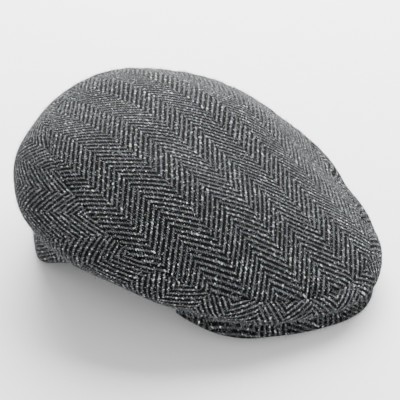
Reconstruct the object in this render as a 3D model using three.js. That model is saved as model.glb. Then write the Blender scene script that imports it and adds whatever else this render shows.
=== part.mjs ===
// Herringbone wool flat cap, in millimetres: the front is -Y, up is +Z, the wearer's left is +X.
// The origin lies on the table, under the middle of the crown's widest line.
import * as THREE from "three";
import { LoftGeometry } from "three/addons/geometries/LoftGeometry.js";
import { mergeVertices } from "three/addons/utils/BufferGeometryUtils.js";

// Crown: its widest line seen from above, and its highest point over the table
const crownLength = 260;
const crownWidth = 220;
const crownHeight = 116;
const clothWall = 2.4;
const sewnGap = 0.3;

// The middle of the crown, between the high rear and the low front:
// how far it lies behind the centre and under the highest point
const middleSetback = 6.2;
const middleDrop = 10.4;
const shoulderReach = 0.435;

// Head opening, at the lower edge of the band, and the line where the side panel is sewn to the band
const openingLength = 206;
const openingWidth = 166;
const openingSetback = 21;
const sewnLength = 203;
const sewnWidth = 172;
const sewnSetback = 16.6;
const bandWall = 3;
// How far the band stands up inside the crown above the sewn line
const bandTurnIn = 8;
// How far the lower edge of the band rises over the table at the sides
const bandLift = 30;

// Peak: its length from the band to the tip, its thickness at the band and at the edge
const peakDepth = 40.5;
const peakWall = 4;
const peakEdgeWall = 2.6;
const peakCamber = 1.5;
// How far the top of the peak stays under the side panel's sewn edge
const peakDrop = 3;
const peakCornerAngle = 67;

// Facets round the cap, and along each stretch of a section
const columns = 60;
const middleRings = 3;
const topRings = 4;
const sideRings = 4;
const bandRings = 4;
const peakColumns = 40;
const peakRings = 6;

// The crown every 30 degrees from the front (first row) to the rear (last row), the same on both sides.
// widest and seam are reaches as shares of the widest oval at that angle, and each Up column is a height
// as a share of crownHeight.
const crownStations = [
  { widest: 1, widestUp: 0.182, seam: 0.93, seamUp: 0.262, shoulderUp: 0.655 },
  { widest: 0.935, widestUp: 0.214, seam: 0.872, seamUp: 0.299, shoulderUp: 0.688 },
  { widest: 0.95, widestUp: 0.32, seam: 0.877, seamUp: 0.428, shoulderUp: 0.782 },
  { widest: 0.99, widestUp: 0.468, seam: 0.89, seamUp: 0.61, shoulderUp: 0.877 },
  { widest: 1.035, widestUp: 0.575, seam: 0.845, seamUp: 0.772, shoulderUp: 0.945 },
  { widest: 1.025, widestUp: 0.61, seam: 0.83, seamUp: 0.878, shoulderUp: 0.988 },
  { widest: 1, widestUp: 0.64, seam: 0.816, seamUp: 0.902, shoulderUp: 1 },
];

// At the same angles, the rolled-under hem of the side panel, the line where it is sewn to the band, and
// the band's lower edge: hem is a share of the widest oval, hemUp and sewnUp of crownHeight,
// lift of bandLift.
const bandStations = [
  { hem: 0.87, hemUp: 0.125, sewnUp: 0.25, lift: 0.68 },
  { hem: 0.87, hemUp: 0.15, sewnUp: 0.259, lift: 0.72 },
  { hem: 0.865, hemUp: 0.235, sewnUp: 0.3, lift: 0.9 },
  { hem: 0.87, hemUp: 0.33, sewnUp: 0.35, lift: 1 },
  { hem: 0.9, hemUp: 0.385, sewnUp: 0.385, lift: 0.92 },
  { hem: 0.94, hemUp: 0.42, sewnUp: 0.4, lift: 0 },
  { hem: 0.945, hemUp: 0.44, sewnUp: 0.42, lift: 0 },
];

// The peak at equal steps of angle from its middle (first row) to its corner (last row).
// reach is a share of peakDepth, edgeUp is the height of its edge over the table as a share of bandLift.
const peakStations = [
  { reach: 1, edgeUp: 0 },
  { reach: 0.89, edgeUp: 0.08 },
  { reach: 0.73, edgeUp: 0.2 },
  { reach: 0.54, edgeUp: 0.34 },
  { reach: 0.32, edgeUp: 0.52 },
  { reach: 0.1, edgeUp: 0.74 },
];

// The reach of an oval from its centre at an angle from the front
function ovalReach(angle, length, width) {
  return 1 / Math.hypot(Math.cos(angle) / (length / 2), Math.sin(angle) / (width / 2));
}

// A point on an oval round the cap at an angle from the front
function ovalPoint(angle, length, width, setback, share, height) {
  const reach = share * ovalReach(angle, length, width);
  return new THREE.Vector3(reach * Math.sin(angle), setback - reach * Math.cos(angle), height);
}

// A smooth function through evenly spaced values, read at a share from 0 to 1
function smoothly(values, closed) {
  const points = values.map((value) => new THREE.Vector3(0, value, 0));
  const line = new THREE.CatmullRomCurve3(points, closed, "catmullrom");
  return (share) => line.getPoint(share).y;
}

// Reads one column of a table as a function of the turn round the cap: 0 at the front, 0.5 at the rear
function roundTheCap(stations, column) {
  const side = stations.map((station) => station[column]);
  const read = smoothly([...side, ...side.slice(1, -1).reverse()], true);
  return (turn) => read((turn + 1) % 1);
}

// Reads one column of the peak's table as a function from one corner (-1) to the other (1)
function acrossThePeak(column) {
  const side = peakStations.map((station) => station[column]);
  const read = smoothly([...side.slice(1).reverse(), ...side], false);
  return (across) => read((across + 1) / 2);
}

const widest = roundTheCap(crownStations, "widest");
const widestUp = roundTheCap(crownStations, "widestUp");
const seam = roundTheCap(crownStations, "seam");
const seamUp = roundTheCap(crownStations, "seamUp");
const shoulderUp = roundTheCap(crownStations, "shoulderUp");
const hem = roundTheCap(bandStations, "hem");
const hemUp = roundTheCap(bandStations, "hemUp");
const sewnUp = roundTheCap(bandStations, "sewnUp");
const lift = roundTheCap(bandStations, "lift");
const peakReach = acrossThePeak("reach");
const peakEdgeUp = acrossThePeak("edgeUp");

const middle = new THREE.Vector3(0, middleSetback, crownHeight - middleDrop);

function crownPoint(turn, share, height) {
  return ovalPoint(2 * Math.PI * turn, crownLength, crownWidth, 0, share, height * crownHeight);
}

// A point on the sewn line of the band's outer face, moved outward by a distance
function sewnPoint(turn, outward) {
  const angle = 2 * Math.PI * turn;
  const height = sewnUp(turn) * crownHeight;
  return ovalPoint(angle, sewnLength + 2 * outward, sewnWidth + 2 * outward, sewnSetback, 1, height);
}

// A point on the band's lower edge, moved outward by a distance
function rimPoint(turn, outward) {
  const angle = 2 * Math.PI * turn;
  const height = Math.max(0, lift(turn)) * bandLift;
  return ovalPoint(angle, openingLength + 2 * outward, openingWidth + 2 * outward, openingSetback, 1, height);
}

// The crown's section from the band on one side, over the middle, to the band on the other side
function sectionAt(turn) {
  const half = (at) => [
    crownPoint(at, shoulderReach, shoulderUp(at)),
    crownPoint(at, seam(at), seamUp(at)),
    crownPoint(at, widest(at), widestUp(at)),
    crownPoint(at, hem(at), hemUp(at)),
    sewnPoint(at, sewnGap),
  ];
  const far = half((turn + 0.5) % 1).reverse();
  return new THREE.CatmullRomCurve3([...far, middle, ...half(turn)], false, "centripetal");
}

// Stretches of the section, counted outward from the middle
const shoulderLevel = 1;
const seamLevel = 2;
const sewnLevel = 5;

// The outward normal of the crown is taken from points this share of a turn to each side
const normalStep = 0.004;

function skinPoint(turn, level) {
  return sectionAt(turn).getPoint((sewnLevel + level) / (2 * sewnLevel));
}

// A point in the crown's cloth: along moves it outward along the section, depth moves it in from the face
function clothPoint(turn, level, along, depth) {
  const share = (sewnLevel + level) / (2 * sewnLevel);
  const section = sectionAt(turn);
  const point = section.getPoint(share);
  const outward = section.getTangent(share);
  const sideways = skinPoint(turn + normalStep, level).sub(skinPoint(turn - normalStep, level));
  const normal = outward.clone().cross(sideways).normalize();
  return point.addScaledVector(outward, along).addScaledVector(normal, -depth);
}

// One ring of points round the cap
function ring(pointAt) {
  return Array.from({ length: columns }, (unused, index) => pointAt(index / columns));
}

// Evenly spaced values from one to another, both included
function steps(from, to, count) {
  return Array.from({ length: count + 1 }, (unused, index) => THREE.MathUtils.lerp(from, to, index / count));
}

// A loft whose ends meet, as one closed surface: shared points are merged and collapsed triangles dropped
function sealed(rings) {
  const loft = new LoftGeometry(rings);
  const bare = new THREE.BufferGeometry();
  bare.setAttribute("position", loft.getAttribute("position"));
  bare.setIndex(loft.index);
  const merged = mergeVertices(bare);
  const corners = Array.from(merged.index.array);
  const kept = [];
  for (let start = 0; start < corners.length; start += 3) {
    const triangle = corners.slice(start, start + 3);
    if (new Set(triangle).size === 3) {
      kept.push(...triangle);
    }
  }
  merged.setIndex(kept);
  merged.computeVertexNormals();
  return merged;
}

function meshOf(name, geometry, color) {
  const material = new THREE.MeshStandardMaterial({ color, roughness: 0.95, metalness: 0 });
  const mesh = new THREE.Mesh(geometry, material);
  mesh.name = name;
  return mesh;
}

// Top panel: outer face from its middle to the seam, then the inner face back
function topPanel() {
  const middleLevels = steps(0, shoulderLevel, middleRings);
  const levels = [...middleLevels, ...steps(shoulderLevel, seamLevel, topRings).slice(1)];
  const face = (depth) => levels.map((level) => ring((turn) => {
    if (level === 0) {
      return middle.clone().setZ(middle.z - depth);
    }
    return clothPoint(turn, level, level === seamLevel ? -sewnGap / 2 : 0, depth);
  }));
  return sealed([...face(clothWall), ...face(0).reverse()]);
}

// Side panel: outer face from the seam over the widest line and under to the band, then the inner face back
function sidePanel() {
  const levels = steps(seamLevel, sewnLevel, sideRings * (sewnLevel - seamLevel));
  const along = (level) => (level === seamLevel ? sewnGap / 2 : 0);
  const edge = (depth) => (turn) => sewnPoint(turn, sewnGap).add(new THREE.Vector3(0, 0, depth));
  const face = (depth) => levels.map((level) =>
    ring(level === sewnLevel ? edge(depth) : (turn) => clothPoint(turn, level, along(level), depth)));
  const inner = face(clothWall);
  return sealed([...inner, ...face(0).reverse(), inner[0]]);
}

// Band: outer face from the lower edge up past the sewn line, then the inner face back
function band() {
  const face = (outward) => [
    ...steps(0, 1, bandRings).map((share) =>
      ring((turn) => rimPoint(turn, outward).lerp(sewnPoint(turn, outward), share))),
    ring((turn) => sewnPoint(turn, outward).add(new THREE.Vector3(0, 0, bandTurnIn))),
  ];
  const outer = face(0);
  return sealed([...outer, ...face(-bandWall).reverse(), outer[0]]);
}

// Peak: one closed section per column, from corner to corner
function peak() {
  const section = (across) => {
    const turn = (across * peakCornerAngle) / 360;
    const angle = 2 * Math.PI * turn;
    const direction = new THREE.Vector3(Math.sin(angle), -Math.cos(angle), 0);
    const top = sewnPoint(turn, sewnGap);
    top.z -= peakDrop;
    const reach = peakReach(across) * peakDepth;
    const edgeHeight = peakEdgeUp(across) * bandLift;
    const face = (startHeight, endHeight) => steps(0, 1, peakRings).map((share) => {
      const point = top.clone().addScaledVector(direction, share * reach);
      point.z = THREE.MathUtils.lerp(startHeight, endHeight, share) + 4 * peakCamber * share * (1 - share);
      return point;
    });
    const upper = face(top.z, edgeHeight + peakEdgeWall);
    const lower = face(top.z - peakWall, edgeHeight);
    return [...upper, ...lower.reverse()];
  };
  const sections = steps(-1, 1, peakColumns).map(section);
  return new LoftGeometry(sections, { capStart: true, capEnd: true });
}

const cap = new THREE.Group();
cap.add(meshOf("top_panel", topPanel(), 0x6a6c6e));
cap.add(meshOf("side_panel", sidePanel(), 0x5c5e60));
cap.add(meshOf("band", band(), 0x545658));
cap.add(meshOf("peak", peak(), 0x48494a));

export default cap;
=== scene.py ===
"""Looks of a flat cap in herringbone wool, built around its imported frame, in metres."""
import logging
import math
from collections.abc import Callable
from dataclasses import dataclass
from enum import Enum
from typing import ClassVar, NamedTuple

import bpy
import numpy as np
from mathutils import Matrix, Vector


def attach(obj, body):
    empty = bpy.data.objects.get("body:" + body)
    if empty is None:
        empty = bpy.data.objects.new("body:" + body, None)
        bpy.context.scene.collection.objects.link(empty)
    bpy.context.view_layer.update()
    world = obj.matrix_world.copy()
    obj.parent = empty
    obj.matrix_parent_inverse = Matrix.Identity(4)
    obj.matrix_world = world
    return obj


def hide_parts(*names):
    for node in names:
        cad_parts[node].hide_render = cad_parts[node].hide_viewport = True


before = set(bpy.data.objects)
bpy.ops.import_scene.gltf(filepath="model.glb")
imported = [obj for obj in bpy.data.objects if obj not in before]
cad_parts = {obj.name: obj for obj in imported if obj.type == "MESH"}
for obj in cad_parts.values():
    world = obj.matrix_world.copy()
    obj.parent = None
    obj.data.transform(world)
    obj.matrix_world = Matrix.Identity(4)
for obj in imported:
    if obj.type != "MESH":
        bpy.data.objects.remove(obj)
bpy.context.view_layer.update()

LOG = logging.getLogger("flat_cap")
BODY = "root"
CLOTH_MAP = "ClothMap"

# Points nearer than this to each other are one point
SAME_PLACE = 1e-9
# Keeps a division by a length of nothing from failing
TINY = 1e-12
# How fast a hump falls off, as a share of its width
HUMP_FALL = 0.6

Grid = np.ndarray
Socket = bpy.types.NodeSocket
Colour = tuple[float, float, float]


class ColumnRun(Enum):
    """How the herringbone columns of a piece run over it."""

    LENGTHWISE = "along the cap, from front to rear"
    FANNED = "from the seam down to the band, spread like a fan"
    ROUND_THE_HEAD = "along the band"


@dataclass(frozen=True)
class Station:
    """One row of the crown's shape, as shares of its driving sizes, at one angle from the front."""

    widest: float
    widest_up: float
    seam: float
    seam_up: float
    shoulder_up: float
    hem: float
    hem_up: float
    sewn_up: float
    lift: float


# Every 30 degrees from the front to the rear, the same on both sides
STATIONS = (
    Station(1.000, 0.182, 0.930, 0.262, 0.655, 0.870, 0.125, 0.250, 0.68),
    Station(0.935, 0.214, 0.872, 0.299, 0.688, 0.870, 0.150, 0.259, 0.72),
    Station(0.950, 0.320, 0.877, 0.428, 0.782, 0.865, 0.235, 0.300, 0.90),
    Station(0.990, 0.468, 0.890, 0.610, 0.877, 0.870, 0.330, 0.350, 1.00),
    Station(1.035, 0.575, 0.845, 0.772, 0.945, 0.900, 0.385, 0.385, 0.92),
    Station(1.025, 0.610, 0.830, 0.878, 0.988, 0.940, 0.420, 0.400, 0.00),
    Station(1.000, 0.640, 0.816, 0.902, 1.000, 0.945, 0.440, 0.420, 0.00),
)

# The peak from its middle to its corner: reach as a share of its depth, edge height as a share of the lift
PEAK_REACH = (0.97, 0.84, 0.66, 0.55, 0.37, 0.12)
PEAK_EDGE_UP = (0.0, 0.09, 0.24, 0.31, 0.45, 0.72)


def smooth_step(low: float, high: float, value: Grid) -> Grid:
    """Rises smoothly from 0 at low to 1 at high."""
    share = np.clip((value - low) / (high - low), 0, 1)
    return share * share * (3 - 2 * share)


def hump(value: Grid, middle: float, width: float) -> Grid:
    """A soft hump, 1 at its middle and near 0 a width away."""
    return np.exp(-(((value - middle) / (HUMP_FALL * width)) ** 2))


def closed_spline(values: Grid, turns: Grid) -> Grid:
    """Reads a smooth closed curve through evenly spaced values.

    Args:
        values: The values round the whole turn.
        turns: Where to read, in turns.

    Returns:
        One value for each entry of turns.
    """
    count = len(values)
    one = np.eye(count)
    links = 4 * one + np.roll(one, 1, 0) + np.roll(one, -1, 0)
    bends = np.linalg.solve(links, 6 * (np.roll(values, -1) - 2 * values + np.roll(values, 1)))
    place = np.mod(turns, 1) * count
    start = np.floor(place).astype(int) % count
    end = (start + 1) % count
    after = place - np.floor(place)
    before = 1 - after
    curve = (before**3 - before) * bends[start] + (after**3 - after) * bends[end]
    return before * values[start] + after * values[end] + curve / 6


def open_splines(knots: Grid, points: Grid, places: Grid) -> Grid:
    """Reads many smooth open curves at once, each through its own points.

    Args:
        knots: The place of each point on its curve, one row for each curve.
        points: The points, curves by points by three.
        places: Where to read, one row for each curve.

    Returns:
        The points read, curves by places by three.
    """
    curves, count = knots.shape
    gaps = np.diff(knots, axis=1)
    slopes = np.diff(points, axis=1) / gaps[..., None]
    inner = np.arange(1, count - 1)
    links = np.zeros((curves, count, count))
    links[:, 0, 0] = links[:, -1, -1] = 1
    links[:, inner, inner - 1] = gaps[:, :-1]
    links[:, inner, inner] = 2 * (gaps[:, :-1] + gaps[:, 1:])
    links[:, inner, inner + 1] = gaps[:, 1:]
    right = np.zeros_like(points)
    right[:, 1:-1] = 6 * np.diff(slopes, axis=1)
    bends = np.linalg.solve(links, right)
    start = (places[:, :, None] >= knots[:, None, 1:-1]).sum(axis=2)
    row = np.arange(curves)[:, None]
    gap = gaps[row, start]
    after = ((places - knots[row, start]) / gap)[..., None]
    before = 1 - after
    curve = (before**3 - before) * bends[row, start] + (after**3 - after) * bends[row, start + 1]
    straight = before * points[row, start] + after * points[row, start + 1]
    return straight + curve * gap[..., None] ** 2 / 6


def running_total(steps: Grid) -> Grid:
    """The sum of each row's steps up to each place, from 0."""
    return np.concatenate([np.zeros((len(steps), 1)), np.cumsum(steps, axis=1)], axis=1)


def lengths_along(points: Grid) -> Grid:
    """The length along each row of points, from its first."""
    return running_total(np.linalg.norm(np.diff(points, axis=1), axis=2))


def closed_steps(line: Grid) -> Grid:
    """The length from each point of a closed line to the next."""
    return np.linalg.norm(np.roll(line, -1, axis=0) - line, axis=1)


def mirrored_column(name: str) -> Grid:
    """One column of the crown's table, carried round both sides."""
    side = [getattr(station, name) for station in STATIONS]
    return np.array(side + side[-2:0:-1])


@dataclass(frozen=True)
class Rumple:
    """Soft unevenness of worn cloth, a sum of waves in seeded directions."""

    seed: int
    wave: float
    height: float
    waves: int = 26
    shortest: float = 0.7
    longest: float = 1.6

    def at(self, points: Grid) -> Grid:
        """How far the cloth stands out at each point.

        Args:
            points: The points, in an array of any shape that ends in three.

        Returns:
            One height for each point.
        """
        draw = np.random.default_rng(self.seed)
        ways = draw.normal(size=(self.waves, 3))
        ways /= np.linalg.norm(ways, axis=1, keepdims=True)
        lengths = self.wave * draw.uniform(self.shortest, self.longest, self.waves)
        phases = draw.uniform(0, 2 * math.pi, self.waves)
        travel = points @ (ways / lengths[:, None]).T
        return self.height * np.sin(2 * math.pi * travel + phases).sum(axis=-1) / math.sqrt(self.waves / 2)


@dataclass
class Patch:
    """A stretch of cloth as rings of points that close round the cap, with its normals and lengths."""

    points: Grid
    normals: Grid
    along: Grid

    def raised(self, heights: Grid) -> Grid:
        """The points moved out of the cloth's face by heights."""
        return self.points + self.normals * heights[..., None]


@dataclass(frozen=True)
class Crown:
    """The crown's driving sizes, and the surface that they give."""

    length: float = 0.260
    width: float = 0.220
    height: float = 0.116
    middle_setback: float = 0.0062
    middle_drop: float = 0.0104
    shoulder_reach: float = 0.435
    cloth_wall: float = 0.0024
    sewn_gap: float = 0.0003
    sewn_length: float = 0.203
    sewn_width: float = 0.172
    sewn_setback: float = 0.0166
    opening_length: float = 0.206
    opening_width: float = 0.166
    opening_setback: float = 0.021
    band_lift: float = 0.030

    # Levels along a section, counted from the crown's middle, and a small part of one
    SEAM: ClassVar[int] = 2
    WIDEST: ClassVar[int] = 3
    SEWN: ClassVar[int] = 5
    NUDGE: ClassVar[float] = 0.02

    @staticmethod
    def oval(turns: Grid, length: Grid, width: Grid, setback: float, share: Grid, height: Grid) -> Grid:
        """Points on an oval round the cap.

        Args:
            turns: The turn from the front of each point.
            length: The oval's length, front to rear.
            width: The oval's width.
            setback: How far its centre lies behind the crown's.
            share: The part of the oval's reach that each point has.
            height: The height of each point.

        Returns:
            One point for each turn.
        """
        angles = 2 * math.pi * turns
        reach = share / np.hypot(2 * np.cos(angles) / length, 2 * np.sin(angles) / width)
        height = np.broadcast_to(height, reach.shape)
        return np.stack([reach * np.sin(angles), setback - reach * np.cos(angles), height], axis=-1)

    def crown_points(self, turns: Grid, share: Grid, up: Grid) -> Grid:
        """Points at a share of the widest oval and of the crown's height."""
        return self.oval(turns, self.length, self.width, 0, share, up * self.height)

    def sewn_points(self, turns: Grid, outward: float | Grid) -> Grid:
        """Points on the line where the side panel is sewn to the band.

        Args:
            turns: The turn from the front of each point.
            outward: How far outside the line each point lies.

        Returns:
            One point for each turn.
        """
        height = closed_spline(mirrored_column("sewn_up"), turns) * self.height
        grow = 2 * outward
        return self.oval(
            turns, self.sewn_length + grow, self.sewn_width + grow, self.sewn_setback, 1, height
        )

    def rim_points(self, turns: Grid, outward: float | Grid) -> Grid:
        """Points on the lower edge of the band.

        Args:
            turns: The turn from the front of each point.
            outward: How far outside the edge each point lies.

        Returns:
            One point for each turn.
        """
        lift = np.maximum(closed_spline(mirrored_column("lift"), turns), 0) * self.band_lift
        grow = 2 * outward
        return self.oval(
            turns, self.opening_length + grow, self.opening_width + grow, self.opening_setback, 1, lift
        )

    def half_section(self, turns: Grid) -> list[Grid]:
        """The section's points from the shoulder out and under to the band.

        Args:
            turns: The turns from the front.

        Returns:
            The points of each level, one for each turn.
        """
        read = {name: closed_spline(mirrored_column(name), turns) for name in Station.__annotations__}
        return [
            self.crown_points(turns, np.full_like(turns, self.shoulder_reach), read["shoulder_up"]),
            self.crown_points(turns, read["seam"], read["seam_up"]),
            self.crown_points(turns, read["widest"], read["widest_up"]),
            self.crown_points(turns, read["hem"], read["hem_up"]),
            self.sewn_points(turns, self.sewn_gap),
        ]

    def skin(self, turns: Grid, levels: Grid) -> Grid:
        """The crown's outer face.

        Args:
            turns: The turns from the front.
            levels: How far out along the section: 0 at the middle, then the levels named above.

        Returns:
            The points, turns by levels by three.
        """
        middle = np.broadcast_to([0, self.middle_setback, self.height - self.middle_drop], (len(turns), 3))
        far = self.half_section(np.mod(turns + 0.5, 1))[::-1]
        points = np.stack([*far, middle, *self.half_section(turns)], axis=1)
        steps = np.sqrt(np.linalg.norm(np.diff(points, axis=1), axis=2))
        knots = running_total(steps)
        outward = knots[:, self.SEWN :]
        start = np.minimum(np.floor(levels).astype(int), self.SEWN - 1)
        share = levels - start
        places = outward[:, start] * (1 - share) + outward[:, start + 1] * share
        return open_splines(knots, points, places)

    def patch(self, turns: Grid, levels: Grid) -> Patch:
        """The outer face between two levels.

        Args:
            turns: The turns from the front.
            levels: How far out along the section, as in skin.

        Returns:
            The face's points, its normals and its lengths along each section.
        """
        points = self.skin(turns, levels)
        further = self.skin(turns, np.minimum(levels + self.NUDGE, self.SEWN))
        nearer = self.skin(turns, np.maximum(levels - self.NUDGE, 0))
        sideways = np.roll(points, -1, axis=0) - np.roll(points, 1, axis=0)
        normals = np.cross(sideways, nearer - further)
        if levels[0] == 0:
            normals[:, 0] = normals[:, 1].mean(axis=0)
        normals /= np.linalg.norm(normals, axis=2, keepdims=True)
        return Patch(points, normals, lengths_along(points))


@dataclass(frozen=True)
class Dimple:
    """A soft dent or fullness in the crown: its turn and level, and its reach and depth in metres."""

    turn: float
    level: float
    reach: float
    depth: float


@dataclass(frozen=True)
class Wear:
    """The crown's unevenness, one field for all its panels, so that their edges meet."""

    crown: Crown
    slack: Rumple = Rumple(seed=11, wave=0.062, height=0.0007)
    dimples: tuple[Dimple, ...] = (
        Dimple(0.932, 2.0, 0.0075, 0.0026),
        Dimple(0.981, 2.08, 0.007, 0.0024),
        Dimple(0.838, 2.1, 0.011, 0.0011),
        Dimple(0.893, 2.35, 0.012, 0.0009),
        Dimple(0.062, 2.05, 0.009, 0.0013),
        Dimple(0.118, 2.2, 0.012, 0.001),
        Dimple(0.171, 2.05, 0.01, 0.0011),
    )
    fullness: tuple[Dimple, ...] = (
        Dimple(0.61, 3.4, 0.032, 0.0026),
        Dimple(0.39, 3.4, 0.032, 0.0022),
    )

    def at(self, points: Grid) -> Grid:
        """How far the cloth stands out of the drawn face at each point.

        Args:
            points: The points, in an array of any shape that ends in three.

        Returns:
            One height for each point.
        """
        out = self.slack.at(points)
        for sign, places in ((-1, self.dimples), (1, self.fullness)):
            for place in places:
                centre = self.crown.skin(np.array([place.turn]), np.array([place.level]))[0, 0]
                away = np.linalg.norm(points - centre, axis=-1)
                out = out + sign * place.depth * np.exp(-((away / place.reach) ** 2))
        return out


@dataclass(frozen=True)
class ClothLay:
    """How a place on a piece becomes a place on the cloth it was cut from.

    Each row holds the shares of x, y, x squared, x times y and y squared, the last three for each metre.
    """

    across: tuple[float, ...]
    along: tuple[float, ...]

    def place(self, x: Grid, y: Grid) -> Grid:
        """The place on the cloth of each place on the piece."""
        terms = np.stack([x, y, x * x, x * y, y * y], axis=-1)
        return np.stack([terms @ np.array(self.across), terms @ np.array(self.along)], axis=-1)


def full_turn(columns: int) -> Grid:
    """Evenly spaced turns round the cap."""
    return np.arange(columns) / columns


def perimeter_places(line: Grid) -> Grid:
    """Lengths along a closed line, from its first point both ways to the rear.

    Args:
        line: The line's points, starting at the front.

    Returns:
        One length for each point, positive on the wearer's left and negative on the right.
    """
    steps = closed_steps(line)
    places = np.concatenate([[0], np.cumsum(steps)[:-1]])
    half = len(line) // 2
    return np.where(np.arange(len(line)) < half, places, places - steps.sum())


@dataclass
class ShellMesh:
    """One closed body made of rings, with the cloth's own map of each corner."""

    rings: Grid
    cloth_map: Grid
    wrap: Grid | None = None
    closed_rings: bool = True

    def build(self, name: str) -> bpy.types.Object:
        """Makes the object.

        Rings are columns by rings by three. A ring whose points all agree becomes one point.

        Args:
            name: The piece's name.

        Returns:
            The new object, linked to the scene.
        """
        columns, count = self.rings.shape[:2]
        point = np.arange(columns * count).reshape(columns, count)
        for end in (0, count - 1):
            if np.ptp(self.rings[:, end], axis=0).max() < SAME_PLACE:
                point[:, end] = point[0, end]
        right, down = np.roll(point, -1, axis=0), np.roll(point, -1, axis=1)
        corner = np.roll(right, -1, axis=1)
        quads = np.stack([point, right, corner, down], axis=-1)
        beside = np.roll(self.cloth_map, -1, axis=0)
        if self.wrap is not None:
            rear = columns // 2
            beside[rear - 1] = self.wrap[rear]
        below = np.roll(self.cloth_map, -1, axis=1)
        uv = np.stack([self.cloth_map, beside, np.roll(beside, -1, axis=1), below], axis=2)
        if not self.closed_rings:
            quads, uv = quads[:, :-1], uv[:, :-1]
        quads, uv = quads.reshape(-1, 4), uv.reshape(-1, 4, 2)
        faces, places = [], []
        for quad, place in zip(quads.tolist(), uv):
            keep = [k for k in range(4) if quad[k] != quad[(k + 1) % 4]]
            if len(keep) > 2:
                faces.append([quad[k] for k in keep])
                places.append(place[keep])
        return mesh_piece(name, self.rings.reshape(-1, 3), faces, np.concatenate(places))


def mesh_piece(name: str, points: Grid, faces: list[list[int]], corners: Grid) -> bpy.types.Object:
    """Makes a mesh object with the cloth's map on its corners.

    Args:
        name: The piece's name.
        points: The points in metres. Points that no face uses are left out.
        faces: The corners of each face.
        corners: The place on the cloth of each corner of each face.

    Returns:
        The new object, linked to the scene.
    """
    used = sorted({corner for face in faces for corner in face})
    place = {old: new for new, old in enumerate(used)}
    mesh = bpy.data.meshes.new(name)
    mesh.from_pydata(points[used].tolist(), [], [[place[corner] for corner in face] for face in faces])
    layer = mesh.uv_layers.new(name=CLOTH_MAP)
    layer.data.foreach_set("uv", corners.astype(np.float32).ravel())
    mesh.shade_smooth()
    mesh.update()
    piece = bpy.data.objects.new(name, mesh)
    bpy.context.scene.collection.objects.link(piece)
    return piece


class Ramp(NamedTuple):
    """A smooth change of a value from one range to another."""

    low: float
    high: float
    to_low: float = 0.0
    to_high: float = 1.0


@dataclass(frozen=True)
class Grain:
    """One grain of unevenness: its grains for each yarn's width, and how fine and rough they are."""

    by_yarn: float
    detail: float = 2.0
    rough: float = 0.5


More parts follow.
